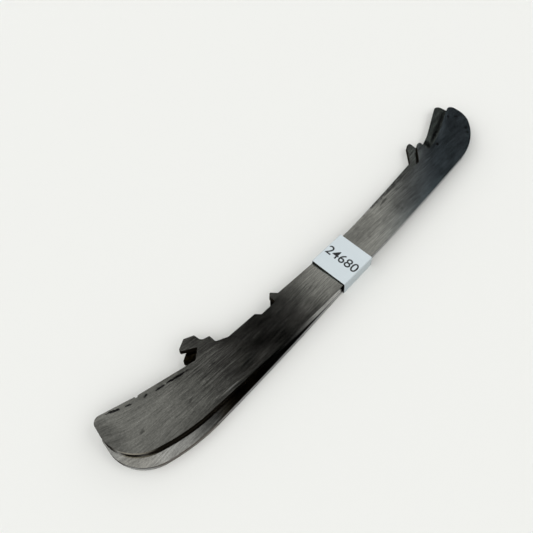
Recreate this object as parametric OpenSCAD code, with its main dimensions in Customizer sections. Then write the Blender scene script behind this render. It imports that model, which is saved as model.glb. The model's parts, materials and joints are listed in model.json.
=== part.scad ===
// A banded pair of hockey skate runners: two flat ground steel runners, one on the other and fanned a little,
// held at the waist by a loose paper band.
// X runs from heel to toe along the lower runner, Y towards the holder side and Z up. All sizes are in mm.
// The origin lies under the middle of the pair, on the surface that the band rests on.

/* [Steel] */
// Thickness of the steel
steel_t = 3; // [2.6:0.1:4]
// Height of the top edge above the lowest point of the skating edge
waist_h = 20.2; // [18:0.2:23]
// Drop of the top edge to the middle of its shallow dip
dip_drop = 2.2; // [1:0.1:3]
// Place of the middle of the dip
dip_x = 43; // [35:1:55]

/* [Skating edge] */
// Radius of the rocker, the long curve of the skating edge
rocker_r = 1750; // [1400:50:3000]
// Distance from the rocker's end to the heel's end
heel_run = 39.9; // [35:0.1:45]
// Distance from the rocker's end to the toe's front
toe_run = 33.3; // [30:0.1:36]
// Radius of the ground hollow between the two sharp arrises
hollow_r = 12.7; // [9:0.1:26]

/* [Heel] */
// Reach of the heel's end at the height of the top edge
heel_reach = 111.9; // [109:0.1:125]
// Lean of the heel's end from upright, in degrees
heel_lean = 11.3; // [5:0.1:16]
// Rise of the heel's upper corner above the top edge
heel_rise = 15.5; // [12:0.1:19]
// Radius of the heel's upper corner
heel_corner_r = 3.4; // [2:0.1:6]
// Slope of the underside behind the rocker, in degrees
heel_lift = 17; // [14:0.5:20]
// Length over which the rocker runs into that slope
heel_blend = 11.3; // [8:0.1:13]
// Radius of the heel's lower corner
heel_r = 19; // [14:0.5:22]
// Place of the nick in the heel's top edge
nick_x = 89.2; // [80:0.1:98]
// Drop of the heel's top edge at the nick below its corner
nick_drop = 5.9; // [5:0.1:7]
// Radius of the nick
nick_r = 0.7; // [0.4:0.1:1.2]

/* [Toe] */
// Reach of the toe's front at the height of the top edge
toe_reach = 160.8; // [157:0.1:181]
// Lean of the toe's front from upright, in degrees
toe_lean = 5; // [2:0.5:8]
// Rise of the toe's tip above the top edge
toe_rise = 14.1; // [12:0.1:17]
// Radius of the toe's tip
toe_tip_r = 2.6; // [1.5:0.1:3.2]
// Climb of the underside in front of the rocker, in degrees
toe_climb = 45; // [40:0.5:50]
// Length over which the rocker runs into that climb
toe_blend = 16.2; // [12:0.1:18]
// Length of the toe's sloping top edge, from its tip back to its foot
ramp_l = 29.6; // [26:0.1:33]
// Rise of that foot above the top edge
ramp_rise = 2.7; // [2.2:0.1:3.4]
// Radius at the foot of the toe's top edge
ramp_r = 60; // [20:1:65]

/* [Front finger] */
// Place of the finger's foot on the top edge
finger_x = 108.2; // [105:0.1:110]
// Rise of the finger's tip above the top edge
finger_rise = 8.7; // [7:0.1:9.5]
// Slope of the finger's back, in degrees
finger_slope = 40.2; // [38:0.2:46]
// Place of the gap between finger and toe
gap_x = 120.1; // [119.5:0.1:123]
// Rise of the gap's floor above the top edge
gap_rise = 1.6; // [0.8:0.1:2.4]
// Lean of the finger's front, in degrees
finger_lean = 11; // [6:0.5:14]

/* [Rear hook] */
// Place of the hook's inner corner
hook_x = 55.3; // [54.8:0.1:58]
// Rise of the hook's inner corner above the top edge
hook_rise = 7.3; // [6.6:0.1:8.5]
// Length of the hook's lip past its inner corner
lip_l = 6.7; // [5:0.1:8]
// Slope of the underside of the lip, in degrees
lip_slope = 31; // [26:0.5:36]
// Depth of the mouth under the lip, measured up the runner
mouth_d = 4.1; // [3.4:0.1:5]
// Length of the mouth's floor
mouth_l = 5.1; // [4.4:0.1:6]
// Place of the small tooth in front of the hook
tooth_x = 47.8; // [46.8:0.1:48.4]
// Rise of the small tooth above the top edge
tooth_rise = 7.4; // [6.6:0.1:8]

/* [Middle catch] */
// Place of the catch on the top edge
catch_x = 13.9; // [12.5:0.1:16]
// Length of the catch
catch_l = 4.3; // [3.6:0.1:5.5]
// Rise of the catch above the top edge
catch_rise = 3.1; // [2.4:0.1:4]
// Length of the recess behind the catch
recess_l = 9.4; // [8:0.1:12]
// Depth of the recess below the top edge
recess_d = 2.3; // [1.6:0.1:3]

/* [Pair and band] */
// Angle between the two runners, in degrees
fan = 2.94; // [1:0.02:3.6]
// Place along the runners where they cross
cross_x = 20; // [16:0.5:30]
// Step of the upper runner towards the toe
stagger = 0.7; // [0:0.1:3]
// Thickness of the paper
paper_t = 0.2; // [0.12:0.02:0.4]
// Width of the band along the runners
band_l = 22; // [16:0.5:26]
// Place of the band's middle
band_x = 26; // [22:0.5:32]
// Room between band and steel at each side
side_room = 0.4; // [0.35:0.05:1]
// Slide of the band towards the toe that its sides allow
slide_toe = 3; // [0:0.5:8]
// Slide of the band towards the heel that its sides allow
slide_heel = 6; // [0:0.5:6]
// Room between band and the upper runner's face, at the skating edge's side
face_room = 0.5; // [0.2:0.05:1.5]
// Rise of the band's top towards the holder side
band_rise = 1; // [0:0.05:1.5]
// Radius of the band's folds, inside
fold_r = 0.3; // [0.2:0.05:0.8]
// Room between the lower folds and the lower runner
fold_room = 0.1; // [0.1:0.05:0.5]

/* [Hidden] */
$fn = 96;

function unit(p) = p / norm(p);
function flat(p) = [p.x, p.y];
function heading(angle) = [cos(angle), sin(angle)];
// Where the line through p at one angle meets the line through q at another angle
function meet(p, p_angle, q, q_angle) =
    p + heading(p_angle) * cross(q - p, heading(q_angle)) / cross(heading(p_angle), heading(q_angle));
// Radius whose tangent length is t where the outline turns by this angle
function blend_r(t, turn) = t / tan(turn / 2);

// Skating edge: the rocker's ends, their slopes and the point where the end tangents meet
heel_angle = -asin((heel_reach - heel_run) / rocker_r);
toe_angle = asin((toe_reach - toe_run) / rocker_r);
rocker_centre = [0, rocker_r];
heel_end = rocker_centre + rocker_r * [sin(heel_angle), -cos(heel_angle)];
toe_end = rocker_centre + rocker_r * [sin(toe_angle), -cos(toe_angle)];
rocker_point = meet(heel_end, heel_angle, toe_end, toe_angle);

// Heel: underside slope, end face and upper corner
heel_knee = heel_end - heel_blend * heading(heel_angle);
heel_face = [-heel_reach, waist_h];
heel_low = meet(heel_knee, 180 - heel_lift, heel_face, 90 - heel_lean);
heel_corner = heel_face + heel_rise * [tan(heel_lean), 1];
nick = [-nick_x, heel_corner.y - nick_drop];

// Toe: climb, front, tip and sloping top edge
toe_knee = toe_end + toe_blend * heading(toe_angle);
toe_face = [toe_reach, waist_h];
toe_nose = meet(toe_knee, toe_climb, toe_face, 90 + toe_lean);
toe_tip = toe_face + toe_rise * [-tan(toe_lean), 1];
ramp = [toe_tip.x - ramp_l, waist_h + ramp_rise];
toe_knee_r = blend_r(toe_blend, toe_climb - toe_angle);
toe_nose_r = blend_r(norm(toe_nose - toe_knee) - toe_blend, 90 + toe_lean - toe_climb);

// Front finger
gap = [gap_x, waist_h + gap_rise];
finger_front = gap + (finger_rise - gap_rise) * [tan(finger_lean), 1];
finger_back = [finger_x + finger_rise / tan(finger_slope), waist_h + finger_rise];

// Shallow dip of the top edge
dip = [dip_x, waist_h - dip_drop];
catch_foot = [-catch_x + catch_l, waist_h];
dip_turn = atan(dip_drop / (finger_x - dip_x)) + atan(dip_drop / (dip_x - catch_foot.x));
dip_r = blend_r(0.92 * min(finger_x - dip_x, dip_x - catch_foot.x), dip_turn);

// Rear hook
hook = [-hook_x, waist_h + hook_rise];
lip = hook + lip_l * [-1, tan(lip_slope)];
mouth_foot = hook - [mouth_l, mouth_d];
tooth = [-tooth_x, waist_h + tooth_rise];

// Corners of the outline with their radii, from the rocker round past the toe, the top edge and the heel
outline = [
    [rocker_point.x, rocker_point.y, rocker_r],
    [toe_knee.x, toe_knee.y, toe_knee_r],
    [toe_nose.x, toe_nose.y, toe_nose_r],
    [toe_tip.x, toe_tip.y, toe_tip_r],
    [ramp.x, ramp.y, ramp_r],
    [gap.x, gap.y, 0.8],
    [finger_front.x, finger_front.y, 0.9],
    [finger_back.x, finger_back.y, 1.6],
    [finger_x, waist_h, 1.5],
    [dip.x, dip.y, dip_r],
    [catch_foot.x, catch_foot.y, 0.6],
    [catch_foot.x - 0.6 * catch_l, waist_h + catch_rise, 0.7],
    [-catch_x, waist_h + 0.5 * catch_rise, 0.9],
    [-catch_x, waist_h - recess_d, 0.9],
    [-catch_x - recess_l, waist_h - recess_d, 1],
    [-catch_x - recess_l - recess_d, waist_h + 0.2, 1],
    [-tooth_x + 5.6, waist_h + 0.8, 1.5],
    [-tooth_x, waist_h + 3.4, 1],
    [tooth.x, tooth.y, 0.25],
    [-hook_x + 3.4, hook.y + 1.3, 2.4],
    [-hook_x + 3, hook.y + 5.5, 0.6],
    [-hook_x - 1.6, hook.y + 7.6, 0.9],
    [lip.x + 0.1, lip.y + 1.1, 0.6],
    [lip.x, lip.y, 0.25],
    [hook.x, hook.y, 0.5],
    [mouth_foot.x, mouth_foot.y, 0.7],
    [nick.x, nick.y, 0],
    [heel_corner.x, heel_corner.y, heel_corner_r],
    [heel_low.x, heel_low.y, heel_r],
    [heel_knee.x, heel_knee.y, blend_r(heel_blend, heel_lift + heel_angle)]
];
// A rounded outline is a list of corners [x, y, radius], run round with the solid on the left
function corner(o, i) = flat(o[(i + len(o)) % len(o)]);
function back_way(o, i) = unit(corner(o, i - 1) - corner(o, i));
function ahead_way(o, i) = unit(corner(o, i + 1) - corner(o, i));
function half_angle(o, i) = acos(back_way(o, i) * ahead_way(o, i)) / 2;
function out_way(o, i) = unit(back_way(o, i) + ahead_way(o, i));
function bends_out(o, i) = cross(ahead_way(o, i), back_way(o, i)) > 0;
function reach(o, i) = o[i].z / tan(half_angle(o, i));
function round_centre(o, i) = corner(o, i) + out_way(o, i) * o[i].z / sin(half_angle(o, i));
// An inward corner starts as a flat across its rounding
function blank_points(o, i) =
    o[i].z == 0 || bends_out(o, i)
    ? [corner(o, i)]
    : [corner(o, i) + back_way(o, i) * reach(o, i), corner(o, i) + ahead_way(o, i) * reach(o, i)];

// The round of a corner, a trace over size so that it crosses the edges at a definite angle
module corner_round(o, i) {
    r = o[i].z;
    translate(round_centre(o, i))
        circle(r + min(0.002 + 0.0003 * r, 0.012), $fn = r > 15 ? 256 : 96);
}

// What an outward corner loses: the piece between its tip and its round
module outward_piece(o, i) {
    chord = unit(ahead_way(o, i) - back_way(o, i)) * (0.3 + 0.1 * reach(o, i));
    difference() {
        polygon([
            corner(o, i) + back_way(o, i) * reach(o, i) - chord,
            corner(o, i) - out_way(o, i) * (0.3 + 0.05 * reach(o, i)),
            corner(o, i) + ahead_way(o, i) * reach(o, i) + chord
        ]);
        corner_round(o, i);
    }
}

// What an inward corner's flat loses: the piece of its round under the flat
module inward_piece(o, i) {
    over = out_way(o, i) * 0.3;
    ends = blank_points(o, i);
    intersection() {
        polygon([ends[0], corner(o, i), ends[1], ends[1] + over, ends[0] + over]);
        corner_round(o, i);
    }
}

module rounded(o) {
    difference() {
        polygon([for (i = [0 : len(o) - 1]) for (p = blank_points(o, i)) p]);
        for (i = [0 : len(o) - 1])
            if (o[i].z > 0) {
                if (bends_out(o, i)) outward_piece(o, i);
                else inward_piece(o, i);
            }
    }
}

// Tool for the ground hollow: a ring section that follows the rocker and bites just past both faces
hollow_bite = hollow_r - sqrt(hollow_r * hollow_r - steel_t * steel_t / 4) + 0.03;
module hollow_tool() {
    translate([0, rocker_r, 0])
        rotate([0, 0, 270 + heel_angle])
            rotate_extrude(angle = toe_angle - heel_angle, $fn = 256)
                translate([rocker_r + hollow_r - hollow_bite, steel_t / 2])
                    circle(hollow_r, $fn = 96);
}

// One runner, lying flat with the lowest point of its skating edge at the origin
module runner() {
    difference() {
        linear_extrude(steel_t)
            difference() {
                rounded(outline);
                translate(nick) circle(nick_r);
            }
        hollow_tool();
    }
}

// Where the runners cross, and a point of the upper runner in the lower runner's axes
crossing = [cross_x, (waist_h - 1) / 2];
function fanned(p) =
    crossing + [stagger, 0]
    + [(p - crossing) * [cos(fan), sin(fan)], (p - crossing) * [-sin(fan), cos(fan)]];

// Middle of the pair's plan, from the arcs that reach furthest each way
low_arc = round_centre(outline, len(outline) - 2);
nose_arc = round_centre(outline, 2);
top_arc = round_centre(outline, len(outline) - 3);
x_min = min(low_arc.x, fanned(low_arc).x) - heel_r;
x_max = max(nose_arc.x, fanned(nose_arc).x) + toe_nose_r;
y_min = min(0, fanned(rocker_centre).y - rocker_r);
y_max = max(top_arc.y, fanned(top_arc).y) + heel_corner_r;
middle = [(x_min + x_max) / 2, (y_min + y_max) / 2];

module lower_runner() {
    color([0.42, 0.43, 0.43])
        translate([-middle.x, -middle.y, paper_t])
            runner();
}

module upper_runner() {
    turn_at = crossing - middle + [stagger, 0];
    color([0.36, 0.37, 0.38])
        translate([turn_at.x, turn_at.y, paper_t + steel_t])
            rotate([0, 0, -fan])
                translate([-crossing.x, -crossing.y, 0])
                    runner();
}

// The band is square to the upper runner. Each side leans out below, most at the end where the lower runner shows
band_w = crossing.y + side_room;
band_h = 2 * steel_t + face_room;
function spread(skew_l) = max(0, tan(fan) * skew_l + fold_r + fold_room - side_room);
edge_spread = spread(cross_x - band_x + band_l / 2 + slide_heel);
holder_spread = spread(band_x + band_l / 2 + slide_toe - cross_x);
// Middles of the four folds, for a place along the band from -1 at the heel end to 1 at the toe end
fold_w = band_w - fold_r;
function folds(place) = [
    [-fold_w - edge_spread * (1 - place) / 2, fold_r],
    [fold_w + holder_spread * (1 + place) / 2, fold_r],
    [fold_w, band_h + band_rise - fold_r],
    [-fold_w, band_h - fold_r]
];

// The space inside the band, grown by a distance, with its ends beyond the paper's
module band_space(out, beyond) {
    hull()
        for (end = [-1, 1])
            for (fold = folds(end * (1 + 2 * beyond / band_l)))
                translate([end * (band_l / 2 + beyond), fold.x, fold.y])
                    rotate([0, -90 * end, 0])
                        cylinder(r = fold_r + out, h = fold_r, $fn = 24);
}

module paper_band() {
    place = fanned([band_x, crossing.y]) - middle;
    color([0.85, 0.88, 0.9])
        translate([place.x, place.y, paper_t])
            rotate([0, 0, -fan])
                difference() {
                    band_space(paper_t, 0);
                    band_space(0, fold_r);
                }
}

lower_runner();
upper_runner();
paper_band();
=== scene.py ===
"""Looks of a banded pair of hockey skate runners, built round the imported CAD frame."""

import json
import math
from typing import NamedTuple

import bmesh
import bpy
from bpy.props import FloatProperty, FloatVectorProperty, PointerProperty, StringProperty
from mathutils import Matrix, Vector


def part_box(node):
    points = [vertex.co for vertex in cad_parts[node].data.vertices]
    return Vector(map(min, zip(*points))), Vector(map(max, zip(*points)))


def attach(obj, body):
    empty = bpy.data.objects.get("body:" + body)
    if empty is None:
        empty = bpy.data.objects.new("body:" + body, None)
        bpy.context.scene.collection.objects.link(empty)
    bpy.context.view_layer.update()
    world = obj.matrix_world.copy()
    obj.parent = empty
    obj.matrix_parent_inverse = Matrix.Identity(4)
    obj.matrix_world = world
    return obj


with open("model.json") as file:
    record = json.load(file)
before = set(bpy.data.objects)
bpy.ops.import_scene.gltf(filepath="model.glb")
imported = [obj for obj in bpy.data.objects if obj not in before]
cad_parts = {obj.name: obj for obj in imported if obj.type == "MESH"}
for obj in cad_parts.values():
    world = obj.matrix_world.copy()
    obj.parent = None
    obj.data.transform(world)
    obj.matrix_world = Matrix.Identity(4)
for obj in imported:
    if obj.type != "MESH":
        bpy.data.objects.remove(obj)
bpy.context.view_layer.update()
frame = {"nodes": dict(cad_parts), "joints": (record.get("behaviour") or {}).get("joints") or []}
MM = 0.001
TURN = frame["joints"][0]
PIVOT = Vector(TURN["pos_m"])
FAN = math.radians(TURN["range_deg"][1])

bl_info = {
    "name": "Banded skate runners",
    "version": (1, 0, 0),
    "blender": (4, 5, 0),
    "location": "View3D > Sidebar > Runners",
    "description": "Ground steel runners in a loose paper band, with their studio",
    "category": "Object",
}

# Broken edges of the runners.
WELD_GAP = 0.002 * MM
EDGE_SEGMENTS = 2
SHARP_ANGLE = math.radians(50)

# The print on the band: its thickness and weld, then the text's depth, gain of stroke and steps for each
# curve before it is scaled.
PRINT_THICKNESS = 0.03 * MM
PRINT_WELD = 0.001 * MM
TEXT_DEPTH = 0.05
TEXT_GAIN = 0.008
TEXT_ROUNDING = 6

# The stage, in metres, and the sensor in mm.
FLOOR_HALF = 1.5
FLOOR_SQUARES = 4
NEAREST_SEEN = 10 * MM
SENSOR = 36

# Patterns: cells per mm along, across and through the steel, then detail and roughness.
STREAKS = (0.05, 1.3, 1.0, 4, 0.7)
GRAIN = (0.1, 2.1, 3.0, 4, 0.7)
MOTTLING = (0.08, 0.14, 1.0, 4, 0.6)
PITS = (0.9, 1.2, 1.0, 3, 0.7)
BLOTS = (0.35, 0.7, 1.0, 4, 0.65)
WOBBLE = (0.3, 0.3, 1.0, 3, 0.6)
DRIFT = (0.03, 0.05, 1.0, 1, 0.5)

# Lines along the walls: cells per mm along, up and through the wall, then detail and roughness.
WALL_LINES = (0.03, 2.6, 0.03, 3, 0.6)

# Where a zone of the steel starts and where it is full, in mm along the runner from the hinge point.
STRAIGHT_LINES = (0, 25)
PAST_BAND = (10, 40)
TOE = (28, 94)
HEEL = (-55, -85)
# Behind this place, the darkened marks on the lower runner take an olive tint.
HOOK_OLIVE = (-50, -65)
# Rust zone of the skating edge: rust on the lower runner, and on the upper runner a black cover that is
# painted shade.
RUST_AND_SHADE_START = (-62, -88)
RUST_AND_SHADE_END = (-126, -120)
HEEL_HIGHLIGHT_ZONE = (-112, -120)
HEEL_CORNER = (-116, -120)
# Middle and reach of the darkened middle of the faces: a painted dark reflection.
PAINTED_DARK_MIDDLE = -45
PAINTED_DARK_REACH = 27

# How much further forward the toe zone starts for each mm towards the holder side.
TOE_LEAN = 1.8

# How much of the zone past the band is lost in the toe zone.
TOE_FADE = 0.75

# How far the grinding lines sway, in mm, and how they bend behind a place along the runner.
SWAY_BEHIND = 4.0
SWAY_AHEAD = 1.5
BEND_START = -50
BEND = 0.0019
BEND_HEIGHT = (-12, 24)

# How far the lines fray the ends of the rust and painted shade zone and of the painted highlight on the
# heel's edge, and how far the darkened marks wander, in mm.
RUST_AND_SHADE_FRAY = 16.0
HEEL_HIGHLIGHT_FRAY = 12.0
STAIN_WANDER_X = 5.0
STAIN_WANDER_Y = 2.5

# Where a facet's normal makes it part of a flat face, the skating side or the holder side, and where it
# can't be the back of a finger.
FLAT_FACE = (0.9, 0.98)
SKATING_SIDE = (-0.1, -0.5)
HOLDER_SIDE = (0.2, 0.7)
NOT_FINGER_BACK = (-0.6, -0.45)

# The skating edge lies below these places across the runner, in mm from the hinge point.
SKATING_HEIGHT = (6, 1)

# Parts of a runner's walls, in mm above the middle of its thickness.
SHADED_PART = (0.25, 0.75)
HEEL_HIGHLIGHT_PART = (-0.4, 0.2)
BOTTOM_PART = (-0.9, -1.2)

# Where the noise of the wall lines starts to turn one tone into the other, and where it has.
SOFT_LINES = (0.3, 0.7)
HARD_LINES = (0.35, 0.65)

# Grey tones of the walls, the grime and the ink's grain.
MIRROR_DARK = 0.12
MIRROR_LIGHT = 0.45
MIRROR_SHADE = 0.01
# Near black of the cut edges: partly black scale, partly painted shade.
SCALE_AND_SHADE_BLACK = 0.001
SCALE_DARK = 0.03
GRIME_TONE = 0.02
TOE_GRIME_TONE = 0.018
INK_GRAIN = 0.025

# Roughness of the skating edge, the toe and the dull edges, and the least that any steel has.
MIRROR_ROUGH = 0.08
TOE_ROUGH = 0.2
SCALE_ROUGH = 0.75
LEAST_ROUGH = 0.05

# Depth of the fine relief of the steel and of the paper.
STEEL_RELIEF = 0.04 * MM
PAPER_RELIEF = 0.03 * MM

# The band, in mm from the hinge point: where its folds begin on both sides, their width and the height
# of its middle.
FOLD_AT = 9.2
FOLD_WIDTH = 1.2
BAND_MIDDLE = 3.6

# The colour sockets of Blender's Mix node.
MIX_FIRST = 6
MIX_SECOND = 7
MIX_RESULT = 2

# Each mark: its middle in mm from the hinge point, its angle, half length, half width and strength.
GRIME = (
    ((-120.0, 22.0), -0.45, 4.2, 0.8, 0.95),
    ((-114.0, 19.5), -0.45, 2.2, 0.55, 0.75),
    ((-106.4, 17.3), 0.3, 1.5, 0.65, 0.95),
    ((-99.7, 15.6), -0.2, 3.4, 0.65, 0.95),
    ((-92.0, 14.1), -0.22, 6.8, 0.85, 1.0),
    ((-86.3, 12.9), -0.2, 2.2, 0.5, 0.7),
    ((131.0, 19.1), 0.5, 1.3, 0.9, 1.5),
    ((134.4, 15.9), -0.4, 1.4, 0.8, 1.5),
    ((130.0, 6.3), 0.6, 1.4, 1.1, 1.4),
    ((127.3, 3.7), 1.0, 1.3, 0.8, 1.3),
    ((107.0, 10.8), 0.9, 1.6, 0.9, 1.3),
)
# Darkened marks on the upper runner. The small ones are dark spots on the steel; the broad ones at the heel
# tip (-133), the middle (-62) and just past the band (26) are painted shade; those at 45 and 62 only darken
# the steel.
STAINS_AND_PAINTED_SHADE = (
    ((-117.5, 6.5), 0.25, 2.6, 0.9, 0.5),
    ((-95.4, 1.4), 0.28, 3.0, 1.0, 0.45),
    ((-75.8, 7.0), -0.44, 1.8, 0.7, 0.6),
    ((27.4, -0.4), 0.0, 2.6, 1.5, 0.4),
    ((23.8, 5.6), 0.0, 1.9, 1.1, 0.32),
    ((50.8, 8.0), 0.1, 4.6, 0.7, 0.6),
    ((45.0, 1.0), 0.2, 8.0, 3.0, 0.22),
    ((62.0, 0.5), 0.1, 19.0, 6.5, 0.36),
    ((26.0, 5.0), 0.0, 16.0, 8.0, 0.32),
    ((-133.0, 14.0), 0.0, 12.0, 18.0, 0.38),
    ((-62.0, -1.0), 0.0, 19.0, 9.0, 0.36),
)
# Darkened marks on the lower runner, mostly painted shade: its face seen through the hook's mouth (-81.5)
# and the catch (-33.5), beside the upper runner past the hinge (56) and along the upper runner's toe (121),
# its strip on the skating side in the middle (-72) and a little at the heel tip (-128). The mark at 106 only
# darkens the steel.
LOWER_DARKENED_AND_PAINTED_SHADE = (
    ((-81.5, 21.3), 0.0, 9.0, 7.0, 0.97),
    ((-33.5, 11.5), 0.0, 7.0, 5.0, 0.97),
    ((-128.0, 5.0), 0.0, 14.0, 10.0, 0.08),
    ((56.0, 12.0), 0.0, 40.0, 9.0, 0.85),
    ((121.0, 13.2), 0.27, 23.0, 1.7, 0.97),
    ((106.3, 10.6), 1.18, 5.0, 2.4, 0.95),
    ((-72.0, -8.0), 0.0, 22.0, 9.0, 0.8),
)
# Lightened marks on the upper runner, mostly painted highlights: thin glints near the skating edge (-79,
# -84), a light line along the toe's edge beside the lower runner (121) and broad brightening by the band
# (-8) and on the heel (-88, 5). The others only lighten the steel.
PAINTED_HIGHLIGHTS_AND_LIGHTENED = (
    ((-79.0, -6.8), -0.06, 8.0, 0.5, 1.8),
    ((-84.0, -5.6), -0.06, 6.0, 0.4, 1.2),
    ((30.0, -7.0), 0.0, 15.0, 6.0, 0.14),
    ((-88.0, -3.6), 0.0, 16.0, 3.4, 0.4),
    ((-64.0, -6.4), 0.05, 14.0, 2.2, 0.5),
    ((-8.0, 0.0), 0.0, 17.0, 13.0, 0.55),
    ((-88.0, 5.0), 0.0, 30.0, 15.0, 0.38),
    ((90.5, 14.0), 0.15, 9.0, 3.6, 0.45),
    ((121.0, 16.7), 0.37, 18.0, 1.8, 0.45),
)
LOWER_LIGHTENED = (
    ((92.0, 14.0), 0.0, 9.0, 7.0, 0.5),
    ((-114.0, -1.0), 0.0, 20.0, 9.0, 0.26),
)


class Look(NamedTuple):
    """What differs between the two runners. Its colours are names of settings."""

    turn: float
    colour: str
    toe_colour: str
    dullness: float
    stains_and_shade: tuple
    lightened_and_highlights: tuple
    grime: tuple


LOOKS = {
    "lower_runner": Look(
        turn=0.0,
        colour="fresh_steel",
        toe_colour="lower_toe_tint",
        dullness=0.08,
        stains_and_shade=LOWER_DARKENED_AND_PAINTED_SHADE,
        lightened_and_highlights=LOWER_LIGHTENED,
        grime=(),
    ),
    "upper_runner": Look(
        turn=FAN,
        colour="steel",
        toe_colour="toe_tint",
        dullness=0.2,
        stains_and_shade=STAINS_AND_PAINTED_SHADE,
        lightened_and_highlights=PAINTED_HIGHLIGHTS_AND_LIGHTENED,
        grime=GRIME,
    ),
}


class RunnerSettings(bpy.types.PropertyGroup):
    """Colours of both runners and the width of their broken edges"""

    steel: FloatVectorProperty(
        name="Steel",
        description="Colour of the upper runner's steel",
        subtype="COLOR",
        default=(0.36, 0.36, 0.325),
    )
    fresh_steel: FloatVectorProperty(
        name="Fresh steel",
        description="Colour of the lower runner's steel",
        subtype="COLOR",
        default=(0.6, 0.6, 0.56),
    )
    # The toe tints below darken both toes as a painted dark reflection.
    toe_tint: FloatVectorProperty(
        name="Toe tint",
        description="Colour of the upper runner's toe",
        subtype="COLOR",
        default=(0.14, 0.175, 0.195),
    )
    lower_toe_tint: FloatVectorProperty(
        name="Lower toe tint",
        description="Colour of the lower runner's toe",
        subtype="COLOR",
        default=(0.225, 0.26, 0.24),
    )
    rust: FloatVectorProperty(
        name="Rust",
        description="Colour of the skating edge towards the heel",
        subtype="COLOR",
        default=(0.06, 0.045, 0.032),
    )
    # The olive tint goes on the darkened marks of the lower runner towards its heel, which in the hook's
    # mouth are painted shade.
    olive_tint: FloatVectorProperty(
        name="Olive",
        description="Colour of the oily shading in the lower hook's mouth",
        subtype="COLOR",
        default=(0.6, 0.46, 0.22),
    )
    cut_edge: FloatVectorProperty(
        name="Cut edge",
        description="Colour of the lines on the dull cut edges",
        subtype="COLOR",
        default=(0.014, 0.0115, 0.008),
    )
    holder_edge: FloatVectorProperty(
        name="Holder edge",
        description="Colour of the lines on the holder side's edges",
        subtype="COLOR",
        default=(0.12, 0.113, 0.1),
    )
    # The light line on the upper runner's heel edge is a painted highlight.
    heel_edge_highlight: FloatVectorProperty(
        name="Lit edge",
        description="Colour of the light line on the upper runner's heel",
        subtype="COLOR",
        default=(0.22, 0.205, 0.17),
    )
    bottom_edge: FloatVectorProperty(
        name="Bottom edge",
        description="Colour along the bottom of the lower runner's skating edge",
        subtype="COLOR",
        default=(0.035, 0.032, 0.027),
    )
    edge_break: FloatProperty(
        name="Edge break",
        description="Width of the broken edges",
        unit="LENGTH",
        default=0.12 * MM,
    )


class BandSettings(bpy.types.PropertyGroup):
    """Colours of the band and its print, and the print's sizes"""

    paper: FloatVectorProperty(
        name="Paper",
        description="Colour of the paper",
        subtype="COLOR",
        default=(0.63, 0.7, 0.725),
    )
    # The dark inner side of the paper is painted shade inside the band.
    inner_shade: FloatVectorProperty(
        name="Inner",
        description="Colour of the paper's inner side",
        subtype="COLOR",
        default=(0.06, 0.06, 0.06),
    )
    ink: FloatVectorProperty(
        name="Ink",
        description="Colour of the print",
        subtype="COLOR",
        default=(0.01, 0.012, 0.014),
    )
    digits: StringProperty(
        name="Digits",
        description="Plain number printed on the band",
        default="24680",
    )
    digit_height: FloatProperty(
        name="Digit height",
        description="Height of the digits",
        unit="LENGTH",
        default=5.4 * MM,
    )
    print_length: FloatProperty(
        name="Print length",
        description="Length of the printed number",
        unit="LENGTH",
        default=18.6 * MM,
    )


class StudioSettings(bpy.types.PropertyGroup):
    """The floor, the sky and the camera"""

    floor: FloatVectorProperty(
        name="Floor",
        description="Colour of the floor",
        subtype="COLOR",
        default=(0.86, 0.865, 0.835),
    )
    sky: FloatProperty(
        name="Sky",
        description="Brightness of the white part of the sky",
        default=1.52,
    )
    camera_place: FloatVectorProperty(
        name="Camera",
        description="Place of the camera",
        subtype="TRANSLATION",
        default=(-155.2 * MM, -92.0 * MM, 247.0 * MM),
    )
    camera_aim: FloatVectorProperty(
        name="Aim",
        description="Point on the floor in the middle of the picture",
        subtype="TRANSLATION",
        default=(-22.07 * MM, 18.44 * MM, 0.0),
    )
    lens: FloatProperty(
        name="Lens",
        description="Focal length on a 36 mm sensor, in mm",
        default=40.53,
    )


class Value:
    """A shader socket that takes part in Python sums."""

    def __init__(self, tree, socket):
        self.tree = tree
        self.socket = socket

    def math(self, operation, *items):
        node = self.tree.nodes.new("ShaderNodeMath")
        node.operation = operation
        for slot, item in zip(node.inputs, items):
            if isinstance(item, Value):
                self.tree.links.new(item.socket, slot)
            else:
                slot.default_value = item
        return Value(self.tree, node.outputs[0])

    def __add__(self, other):
        return self.math("ADD", self, other)

    def __radd__(self, other):
        return self.math("ADD", other, self)

    def __sub__(self, other):
        return self.math("SUBTRACT", self, other)

    def __rsub__(self, other):
        return self.math("SUBTRACT", other, self)

    def __mul__(self, other):
        return self.math("MULTIPLY", self, other)

    def __rmul__(self, other):
        return self.math("MULTIPLY", other, self)

    def __truediv__(self, other):
        return self.math("DIVIDE", self, other)

    def size(self):
        return self.math("ABSOLUTE", self)

    def least(self, other):
        return self.math("MINIMUM", self, other)

    def most(self, other):
        return self.math("MAXIMUM", self, other)

    def rise(self, low, high):
        """0 below low, 1 above high and smooth between; falls where low is the larger."""
        node = self.tree.nodes.new("ShaderNodeMapRange")
        node.interpolation_type = "SMOOTHSTEP"
        self.tree.links.new(self.socket, node.inputs["Value"])
        node.inputs["From Min"].default_value = min(low, high)
        node.inputs["From Max"].default_value = max(low, high)
        node.inputs["To Min"].default_value = 0.0 if low < high else 1.0
        node.inputs["To Max"].default_value = 1.0 if low < high else 0.0
        return Value(self.tree, node.outputs["Result"])

    def bump_at(self, middle, reach):
        """1 at the middle, falling to 0 at the reach on both sides."""
        return (self - middle).size().rise(reach, 0.0)


def grey(level):
    return (level, level, level, 1.0)


def opaque(colour):
    return (colour[0], colour[1], colour[2], 1.0)


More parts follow.
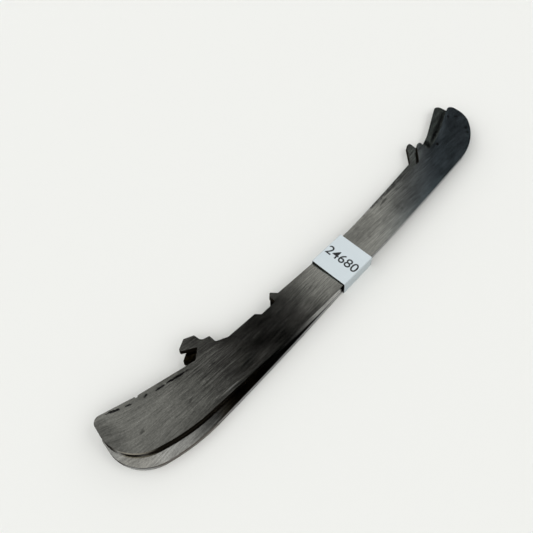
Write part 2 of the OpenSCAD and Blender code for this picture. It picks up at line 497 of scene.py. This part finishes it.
class Finish:
    """The nodes of a material or sky, with its shader and the means to add to it."""

    def __init__(self, owner, shader="Principled BSDF"):
        self.owner = owner
        owner.use_nodes = True
        self.tree = owner.node_tree
        self.shader = self.tree.nodes[shader]

    def node(self, kind, settings=None, output=0, **inputs):
        """Add any node: its settings first, then the values or links of its sockets by name."""
        node = self.tree.nodes.new(kind)
        for key, value in (settings or {}).items():
            setattr(node, key, value)
        for key, value in inputs.items():
            self.feed(node.inputs[key.replace("_", " ")], value)
        return Value(self.tree, node.outputs[output])

    def feed(self, slot, value):
        """Link a socket or set its constant."""
        if isinstance(value, Value):
            self.tree.links.new(value.socket, slot)
        else:
            slot.default_value = value

    def shade(self, **inputs):
        """Feed the shader's sockets by name."""
        for key, value in inputs.items():
            self.feed(self.shader.inputs[key.replace("_", " ")], value)

    def cover(self, factor, **inputs):
        """Lay a second surface over the first where the factor is 1."""
        first = self.shader
        self.shader = self.tree.nodes.new("ShaderNodeBsdfPrincipled")
        self.shade(**inputs)
        both = self.tree.nodes.new("ShaderNodeMixShader")
        self.feed(both.inputs[0], factor)
        self.tree.links.new(first.outputs[0], both.inputs[1])
        self.tree.links.new(self.shader.outputs[0], both.inputs[2])
        self.tree.links.new(both.outputs[0], self.tree.nodes["Material Output"].inputs["Surface"])

    def own_millimetres(self, origin, turn):
        """Object coordinates in millimetres from an origin, turned about Z."""
        place = self.node("ShaderNodeTexCoord", output="Object")
        moved = self.node("ShaderNodeVectorMath", {"operation": "SUBTRACT"})
        slots = moved.socket.node.inputs
        self.feed(slots[0], place)
        self.feed(slots[1], tuple(origin))
        return self.node(
            "ShaderNodeMapping",
            {"vector_type": "POINT"},
            Vector=moved,
            Rotation=(0, 0, turn),
            Scale=(1 / MM, 1 / MM, 1 / MM),
        )

    def normals(self):
        """The three parts of the surface's normal."""
        return self.axes(self.node("ShaderNodeNewGeometry", output="Normal"))

    def axes(self, place):
        """The three parts of a vector."""
        split = self.node("ShaderNodeSeparateXYZ", Vector=place).socket.node
        return [Value(self.tree, split.outputs[i]) for i in range(3)]

    def point(self, x, y, z):
        return self.node("ShaderNodeCombineXYZ", X=x, Y=y, Z=z)

    def noise(self, at, scale=1.0, detail=2.0, roughness=0.5, distortion=0.0):
        return self.node(
            "ShaderNodeTexNoise",
            Vector=at,
            Scale=scale,
            Detail=detail,
            Roughness=roughness,
            Distortion=distortion,
        )

    def pattern(self, kind, x, y, z):
        """Noise from 0 to 1 with a pattern's own number of cells per mm."""
        along, across, through, detail, roughness = kind
        at = self.point(x * along, y * across, z * through)
        return self.noise(at, detail=detail, roughness=roughness)

    def mark(self, x, y, middle, angle, length, width):
        """A soft oval mark on the face, 1 in its middle."""
        x = x - middle[0]
        y = y - middle[1]
        along = (x * math.cos(angle) + y * math.sin(angle)) / length
        across = (y * math.cos(angle) - x * math.sin(angle)) / width
        return (along * along + across * across).rise(1.0, 0.0)

    def largest_mark(self, x, y, marks):
        """The strongest of several marks at each point."""
        found = 0.0
        for middle, angle, length, width, strength in marks:
            found = (strength * self.mark(x, y, middle, angle, length, width)).most(found)
        return found

    def tint(self, colour, tone):
        """A colour times a number."""
        tones = self.node("ShaderNodeCombineColor", Red=tone, Green=tone, Blue=tone)
        return self.mix(1.0, colour, tones, "MULTIPLY")

    def mix(self, factor, first, second, blend="MIX"):
        """The first colour where the factor is 0 and the second where it is 1."""
        node = self.tree.nodes.new("ShaderNodeMix")
        node.data_type = "RGBA"
        node.blend_type = blend
        self.feed(node.inputs["Factor"], factor)
        self.feed(node.inputs[MIX_FIRST], first)
        self.feed(node.inputs[MIX_SECOND], second)
        return Value(self.tree, node.outputs[MIX_RESULT])


def new_finish(name):
    return Finish(bpy.data.materials.new(name))


def dress(node, finish):
    """Give an object one material."""
    node.data.materials.clear()
    node.data.materials.append(finish.owner)


class RunnerSteel(Finish):
    """Ground steel of one runner, painted in mm from the hinge point along the runner's own axes."""

    def __init__(self, name, look, settings):
        super().__init__(bpy.data.materials.new(name + "_steel"))
        self.look = look
        self.settings = settings
        self.x, self.y, self.z = self.axes(self.own_millimetres(PIVOT, look.turn))
        low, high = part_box(name)
        self.level = self.z - ((low[2] + high[2]) / 2 - PIVOT.z) / MM
        self.find_zones()
        self.find_lines()
        self.paint()

    def find_zones(self):
        """Where the flat faces, the skating edge and the parts of the runner's length are."""
        x, y = self.x, self.y
        self.normal = self.normals()
        self.face = self.normal[2].size().rise(*FLAT_FACE)
        low_or_heel = y.rise(*SKATING_HEIGHT).most(x.rise(*HEEL_CORNER))
        self.ground = self.normal[1].rise(*SKATING_SIDE) * low_or_heel
        self.toe = (x - TOE_LEAN * y).rise(*TOE)
        self.heel = x.rise(*HEEL)
        # The middle zone darkens the faces: a painted dark reflection.
        self.middle = x.bump_at(PAINTED_DARK_MIDDLE, PAINTED_DARK_REACH)
        self.past_band = x.rise(*PAST_BAND) * (1 - TOE_FADE * self.toe)

    def find_lines(self):
        """Grinding lines that bend with the heel, soft mottling, and lines along the walls."""
        x, y, z = self.x, self.y, self.z
        sway = SWAY_BEHIND + (SWAY_AHEAD - SWAY_BEHIND) * x.rise(*STRAIGHT_LINES)
        behind = (x - BEND_START).least(0.0)
        bend = BEND * behind * behind * y.rise(*BEND_HEIGHT)
        lane = y + sway * self.pattern(DRIFT, x, y, z) - bend
        self.streak = self.pattern(STREAKS, x, lane, z) - 0.5
        self.grain = self.pattern(GRAIN, x, lane, z) - 0.5
        self.mottle = self.pattern(MOTTLING, x, y, z) - 0.5
        self.wall_line = self.pattern(WALL_LINES, x, z, y)

    def amount(self, everywhere, past_band=0.0, middle=0.0, toe=0.0, heel=0.0):
        """A weight that changes along the runner by what each zone adds."""
        zones = (self.past_band, past_band), (self.middle, middle), (self.toe, toe), (self.heel, heel)
        total = everywhere
        for zone, added in zones:
            if added:
                total = total + added * zone
        return total

    def face_tone(self):
        """Brightness of the flat faces: lines, mottling, pits and scuffs, and a middle darkened as a painted
        dark reflection.
        """
        x, y, z = self.x, self.y, self.z
        coarse = self.amount(1.1, past_band=1.0, toe=-0.7) * self.streak
        coarse = coarse + self.amount(0.6, past_band=0.9) * self.mottle
        fine = self.amount(2.0, past_band=0.7, middle=1.0, toe=-0.9, heel=-0.7) * self.grain
        fine = fine + self.amount(0.4, heel=0.6) * (self.pattern(PITS, x, y, z) - 0.5)
        slant = self.point(x * 0.09 + y * 0.05, y * 2.2 - x * 1.2, z)
        scuff = self.noise(slant, detail=2).rise(0.6, 0.72)
        # The middle is darkened here: a painted dark reflection.
        return self.amount(1.0, middle=-0.7) * (1.0 + coarse + fine - 0.15 * scuff).most(0.12)

    def face_colour(self):
        """Colour of the flat faces, with dark spots, painted shade and painted highlights, and with grime or
        an olive tint.
        """
        x, y, z = self.x, self.y, self.z
        blot = self.pattern(BLOTS, x, y, z) - 0.5
        wobble = self.pattern(WOBBLE, x, y, z + 9.0) - 0.5
        wander_x = x + STAIN_WANDER_X * wobble
        wander_y = y + STAIN_WANDER_Y * blot
        # Darkened marks: small dark spots, and painted shade.
        stain_and_shade = self.largest_mark(wander_x, wander_y, self.look.stains_and_shade)
        tone = self.face_tone() * (1 - stain_and_shade * (0.9 + 3.0 * blot).least(1.0).most(0.0))
        # Lightened marks: mostly painted highlights.
        tone = tone * (1 + self.largest_mark(x, y, self.look.lightened_and_highlights))
        colour = opaque(getattr(self.settings, self.look.colour))
        toe_colour = opaque(getattr(self.settings, self.look.toe_colour))
        # Towards the toe the colour darkens: a painted dark reflection.
        hue = self.mix(self.toe, colour, toe_colour)
        if self.look.grime:
            return self.soil(self.tint(hue, tone))
        # On the lower runner the darkened marks towards the heel take the olive tint; in the hook's mouth
        # they are painted shade.
        olive = stain_and_shade * x.rise(*HOOK_OLIVE)
        return self.tint(self.mix(olive, hue, opaque(self.settings.olive_tint)), tone)

    def soil(self, steel):
        """Lay torn marks of grime on the steel."""
        x, y, z = self.x, self.y, self.z
        dirt = self.largest_mark(x, y, self.look.grime)
        torn = self.noise(self.point(x * 0.8, y * 1.8 + x * 0.4, z + 4.0), detail=4, roughness=0.7) - 0.5
        cover = (dirt + 3.4 * torn).rise(0.3, 0.65) * dirt.rise(0.0, 0.15)
        return self.mix(cover, steel, self.mix(self.toe, grey(GRIME_TONE), grey(TOE_GRIME_TONE)))

    def mirror_colour(self, rust_and_shade):
        """Colour of the walls that mirror the sky: lines, a shaded upper part and rust."""
        lines = self.mix(self.wall_line.rise(*SOFT_LINES), grey(MIRROR_DARK), grey(MIRROR_LIGHT))
        shaded = self.mix(self.level.rise(*SHADED_PART), lines, grey(MIRROR_SHADE))
        return self.mix(rust_and_shade, shaded, opaque(self.settings.rust))

    def scale_colour(self):
        """Colour of the dull cut edges: near black, partly scale and partly painted shade, with dark grey
        scale on the holder side.
        """
        cut = self.mix(self.wall_line.rise(*HARD_LINES), grey(SCALE_AND_SHADE_BLACK), opaque(self.settings.cut_edge))
        holder = self.mix(
            self.wall_line.rise(*SOFT_LINES), grey(SCALE_DARK), opaque(self.settings.holder_edge)
        )
        holder_side = self.normal[1].rise(*HOLDER_SIDE) * self.normal[0].rise(*NOT_FINGER_BACK)
        return self.mix(holder_side, cut, holder)

    def paint(self):
        """Steel first, then the dull surface of the edges over it."""
        face = self.face
        # On the lower runner this zone gives rust; on the upper runner the dull cover below turns its
        # skating edge black, a painted shade.
        rust_and_shade = self.x.rise(*RUST_AND_SHADE_END) * (self.x + RUST_AND_SHADE_FRAY * self.wall_line).rise(*RUST_AND_SHADE_START)
        haze = self.look.dullness + (TOE_ROUGH - self.look.dullness) * self.toe
        uneven = 0.1 * self.mottle + 0.2 * self.streak + 0.2 * self.grain
        relief = face * (0.6 * self.streak + 0.6 * self.grain) + (1 - face) * self.wall_line
        self.shade(
            Base_Color=self.mix(face, self.mirror_colour(rust_and_shade), self.face_colour()),
            Metallic=1.0,
            Roughness=(MIRROR_ROUGH + face * (haze - MIRROR_ROUGH + uneven)).most(LEAST_ROUGH),
            Normal=self.node("ShaderNodeBump", Strength=0.2, Distance=STEEL_RELIEF, Height=relief),
        )
        scale = self.scale_colour()
        dull = 1 - self.ground
        if self.look.grime:
            # The light line on the upper runner's heel edge is a painted highlight; under it the black scale
            # shows as a painted dark line.
            heel_highlight = self.ground * (self.x + HEEL_HIGHLIGHT_FRAY * self.wall_line).rise(*HEEL_HIGHLIGHT_ZONE)
            scale = self.mix(heel_highlight * self.level.rise(*HEEL_HIGHLIGHT_PART), scale, opaque(self.settings.heel_edge_highlight))
            dull = dull.most(heel_highlight).most(rust_and_shade)
        else:
            bottom = self.ground * self.level.rise(*BOTTOM_PART)
            scale = self.mix(bottom, scale, opaque(self.settings.bottom_edge))
            dull = dull.most(bottom)
        self.cover((1 - face) * dull, Base_Color=scale, Roughness=SCALE_ROUGH, Specular_IOR_Level=0.0)


def white_paper(name, settings):
    """White paper with faint fibres, with painted shade at its folds and sides and on its dark inner side.
    """
    f = new_finish(name)
    x, y, z = f.axes(f.own_millimetres(PIVOT, FAN))
    normal = f.normals()
    fibre = f.noise(f.point(x * 1.2, y * 3.0, z * 3.0), detail=4, roughness=0.6, distortion=0.4)
    cloud = f.noise(f.point(x * 0.12, y * 0.12, z * 0.3), detail=3)
    fold = (y.size() - FOLD_AT).rise(0.0, FOLD_WIDTH)
    # The folds and the sides are darker: painted shade.
    tone = 0.95 + 0.05 * cloud + 0.05 * (fibre - 0.5) - 0.06 * fold - 0.36 * normal[1].size()
    # The inner side takes the dark inner colour: painted shade inside the band.
    inside = (normal[1] * y + normal[2] * (z - BAND_MIDDLE)).rise(0.0, -0.5)
    f.shade(
        Base_Color=f.mix(inside, f.tint(opaque(settings.paper), tone), opaque(settings.inner_shade)),
        Roughness=0.62 + 0.12 * fibre,
        Specular_IOR_Level=0.35,
        Normal=f.node("ShaderNodeBump", Strength=0.25, Distance=PAPER_RELIEF, Height=fibre),
    )
    return f


def printed_ink(name, settings):
    """Nearly black print with a fine grain."""
    f = new_finish(name)
    grain = f.noise(f.own_millimetres(PIVOT, 0.0), scale=9.0, detail=2)
    f.shade(
        Base_Color=f.mix(grain.rise(0.35, 0.75) * 0.5, opaque(settings.ink), grey(INK_GRAIN)),
        Roughness=0.5 + 0.2 * grain,
    )
    return f


def break_edges(node, width):
    """Weld a runner's mesh and bevel its sharp edges, as modifiers."""
    weld = node.modifiers.new("Weld", "WELD")
    weld.merge_threshold = WELD_GAP
    edge = node.modifiers.new("Broken edges", "BEVEL")
    edge.width = width
    edge.segments = EDGE_SEGMENTS
    edge.limit_method = "ANGLE"
    edge.angle_limit = SHARP_ANGLE
    edge.use_clamp_overlap = True


class RUNNERS_OT_finish_runners(bpy.types.Operator):
    """Give both runners their broken edges and ground steel"""

    bl_idname = "runners.finish_runners"
    bl_label = "Finish runners"

    def execute(self, context):
        settings = context.scene.runner_settings
        for name, look in LOOKS.items():
            node = frame["nodes"][name]
            break_edges(node, settings.edge_break)
            dress(node, RunnerSteel(name, look, settings))
        return {"FINISHED"}


class RUNNERS_OT_finish_band(bpy.types.Operator):
    """Give the band its paper"""

    bl_idname = "runners.finish_band"
    bl_label = "Finish band"

    def execute(self, context):
        settings = context.scene.band_settings
        dress(frame["nodes"]["paper_band"], white_paper("band_paper", settings))
        return {"FINISHED"}


def text_mesh(context, body):
    """A mesh of some text, in the font's own units."""
    text = bpy.data.curves.new("band_digits", "FONT")
    text.body = body
    text.extrude = TEXT_DEPTH
    text.offset = TEXT_GAIN
    text.resolution_u = TEXT_ROUNDING
    writing = bpy.data.objects.new("band_digits_text", text)
    context.collection.objects.link(writing)
    mesh = bpy.data.meshes.new_from_object(writing.evaluated_get(context.evaluated_depsgraph_get()))
    bpy.data.objects.remove(writing)
    bpy.data.curves.remove(text)
    return mesh


def top_facet(node, above):
    """The largest facet of a node that looks up and lies above a height."""
    upward = [p for p in node.data.polygons if p.normal.z > 0.9 and p.center.z > above]
    return max(upward, key=lambda p: p.area)


def print_place(shape, settings):
    """The matrix that sizes the text and lays it across the band's top."""
    low = [min(v.co[i] for v in shape.verts) for i in range(3)]
    high = [max(v.co[i] for v in shape.verts) for i in range(3)]
    centre = Vector([(a + b) / 2 for a, b in zip(low, high)])
    scale = (
        settings.print_length / (high[0] - low[0]),
        settings.digit_height / (high[1] - low[1]),
        PRINT_THICKNESS / (high[2] - low[2]),
    )
    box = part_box("paper_band")
    target = (Vector(box[0]) + Vector(box[1])) / 2
    top = top_facet(frame["nodes"]["paper_band"], target.z)
    off = target - top.center
    target.z = top.center.z - (top.normal.x * off.x + top.normal.y * off.y) / top.normal.z
    tilt = Vector((0, 0, 1)).rotation_difference(top.normal).to_matrix().to_4x4()
    turn = tilt @ Matrix.Rotation(-FAN - math.pi / 2, 4, "Z")
    sized = Matrix.Diagonal((*scale, 1)) @ Matrix.Translation(-centre)
    return Matrix.Translation(target) @ turn @ sized


class RUNNERS_OT_print_band(bpy.types.Operator):
    """Print a plain number across the top of the band"""

    bl_idname = "runners.print_band"
    bl_label = "Print band"

    def execute(self, context):
        settings = context.scene.band_settings
        mesh = text_mesh(context, settings.digits)
        shape = bmesh.new()
        shape.from_mesh(mesh)
        bmesh.ops.transform(shape, matrix=print_place(shape, settings), verts=shape.verts)
        bmesh.ops.remove_doubles(shape, verts=shape.verts, dist=PRINT_WELD)
        bmesh.ops.recalc_face_normals(shape, faces=shape.faces)
        shape.to_mesh(mesh)
        shape.free()
        digits = bpy.data.objects.new("band_digits", mesh)
        context.collection.objects.link(digits)
        dress(digits, printed_ink("print_ink", settings))
        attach(digits, "band")
        return {"FINISHED"}


def add_floor(context, settings):
    """A wide pale floor."""
    f = new_finish("pale_floor")
    f.shade(Base_Color=opaque(settings.floor), Roughness=0.7, Specular_IOR_Level=0.2)
    shape = bmesh.new()
    bmesh.ops.create_grid(shape, x_segments=FLOOR_SQUARES, y_segments=FLOOR_SQUARES, size=FLOOR_HALF)
    mesh = bpy.data.meshes.new("floor")
    shape.to_mesh(mesh)
    shape.free()
    floor = bpy.data.objects.new("floor", mesh)
    context.collection.objects.link(floor)
    dress(floor, f)


def soft_sky(settings):
    """An even white sky with a dark part high on the right, which has a dim glow for the steel to mirror."""
    f = Finish(bpy.data.worlds.new("soft_sky"), "Background")
    x, y, z = f.axes(f.node("ShaderNodeTexCoord", output="Generated"))
    height = z.most(0.05)
    across = x / height
    along = y / height
    side = across - 0.35 * along
    near_edge = 0.74 * side.rise(-0.5, -0.12) + 0.26 * side.rise(0.0, 0.17)
    far_edge = across.rise(2.4, 1.6)
    ends = along.rise(-1.0, -0.6) * along.rise(1.5, 0.9)
    white_corner = along.rise(-0.1, -0.25) * across.rise(0.37, 0.56)
    dark_part = near_edge * far_edge * ends * (1 - white_corner)
    glow = across.bump_at(0.74, 0.25) * along.rise(0.0, 0.25)
    dim = 0.002 + 0.85 * glow + 0.035 * across.rise(0.8, 1.1)
    f.shade(Strength=settings.sky * (1 - dark_part) + dark_part * dim, Color=(1, 1, 1, 1))
    return f


def add_camera(context, settings):
    """The camera at the photograph's place."""
    camera = bpy.data.objects.new("photo_camera", bpy.data.cameras.new("photo_camera"))
    context.collection.objects.link(camera)
    camera.data.sensor_width = SENSOR
    camera.data.lens = settings.lens
    camera.data.clip_start = NEAREST_SEEN
    camera.location = settings.camera_place
    view = Vector(settings.camera_aim) - Vector(settings.camera_place)
    camera.rotation_euler = view.to_track_quat("-Z", "Y").to_euler()
    context.scene.camera = camera


class RUNNERS_OT_build_studio(bpy.types.Operator):
    """Set the floor, the sky and the camera"""

    bl_idname = "runners.build_studio"
    bl_label = "Build studio"

    def execute(self, context):
        settings = context.scene.studio_settings
        context.scene.view_settings.view_transform = "Standard"
        add_floor(context, settings)
        context.scene.world = soft_sky(settings).owner
        add_camera(context, settings)
        return {"FINISHED"}


class RUNNERS_PT_sidebar(bpy.types.Panel):
    """Sizes, colours and steps of the banded runners"""

    bl_idname = "RUNNERS_PT_sidebar"
    bl_label = "Banded runners"
    bl_space_type = "VIEW_3D"
    bl_region_type = "UI"
    bl_category = "Runners"

    def draw(self, context):
        for group in GROUPS:
            settings = getattr(context.scene, group)
            box = self.layout.box()
            for name in settings.__annotations__:
                box.prop(settings, name)
        for step in STEPS:
            self.layout.operator(step.bl_idname)


GROUPS = {
    "runner_settings": RunnerSettings,
    "band_settings": BandSettings,
    "studio_settings": StudioSettings,
}
STEPS = (
    RUNNERS_OT_finish_runners,
    RUNNERS_OT_finish_band,
    RUNNERS_OT_print_band,
    RUNNERS_OT_build_studio,
)


def register():
    for name, group in GROUPS.items():
        bpy.utils.register_class(group)
        setattr(bpy.types.Scene, name, PointerProperty(type=group))
    for step in STEPS:
        bpy.utils.register_class(step)
    bpy.utils.register_class(RUNNERS_PT_sidebar)


def unregister():
    bpy.utils.unregister_class(RUNNERS_PT_sidebar)
    for step in reversed(STEPS):
        bpy.utils.unregister_class(step)
    for name, group in GROUPS.items():
        delattr(bpy.types.Scene, name)
        bpy.utils.unregister_class(group)


def main():
    register()
    bpy.ops.runners.finish_runners()
    bpy.ops.runners.finish_band()
    bpy.ops.runners.print_band()
    bpy.ops.runners.build_studio()


if __name__ == "__main__":
    main()
